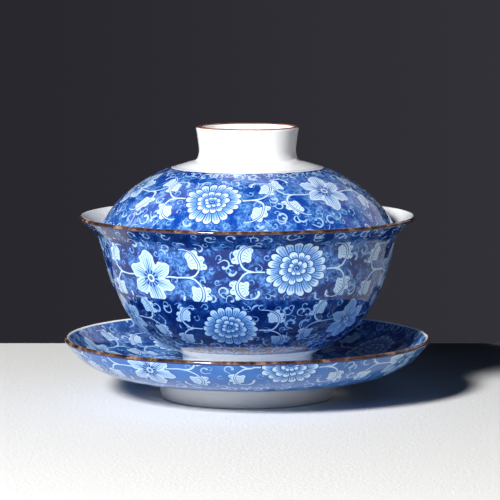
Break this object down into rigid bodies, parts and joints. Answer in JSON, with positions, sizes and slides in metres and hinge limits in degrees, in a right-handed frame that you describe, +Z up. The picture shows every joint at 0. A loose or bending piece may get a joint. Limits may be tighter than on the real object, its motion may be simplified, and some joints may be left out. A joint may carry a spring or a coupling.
{
  "type": "gaiwan",
  "caption": "Flared porcelain tea bowl with a domed lid and a footed saucer, under blue printed scrolling flowers.",
  "frame": {"origin": "centre of the underside of the saucer's foot ring, on the table", "axes": "+Z up along the common axis of saucer, bowl and lid; the pieces are turned shapes, so +X and +Y are free"},
  "size_m": [0.1146, 0.1146, 0.0849],
  "materials": {
    "saucer_porcelain": "gloss",
    "bowl_porcelain": "gloss",
    "lid_porcelain": "gloss"
  },
  "bodies": {
    "saucer": {"saucer": "saucer_porcelain"},
    "bowl": {"bowl": "bowl_porcelain"},
    "lid": {"lid": "lid_porcelain"}
  },
  "joints": [
    {"name": "bowl_lift", "type": "slide", "parent": "saucer", "child": "bowl", "axis": [0, 0, 1], "range_m": [0, 0.04]},
    {"name": "lid_lift", "type": "slide", "parent": "bowl", "child": "lid", "axis": [0, 0, 1], "range_m": [0, 0.05]}
  ]
}
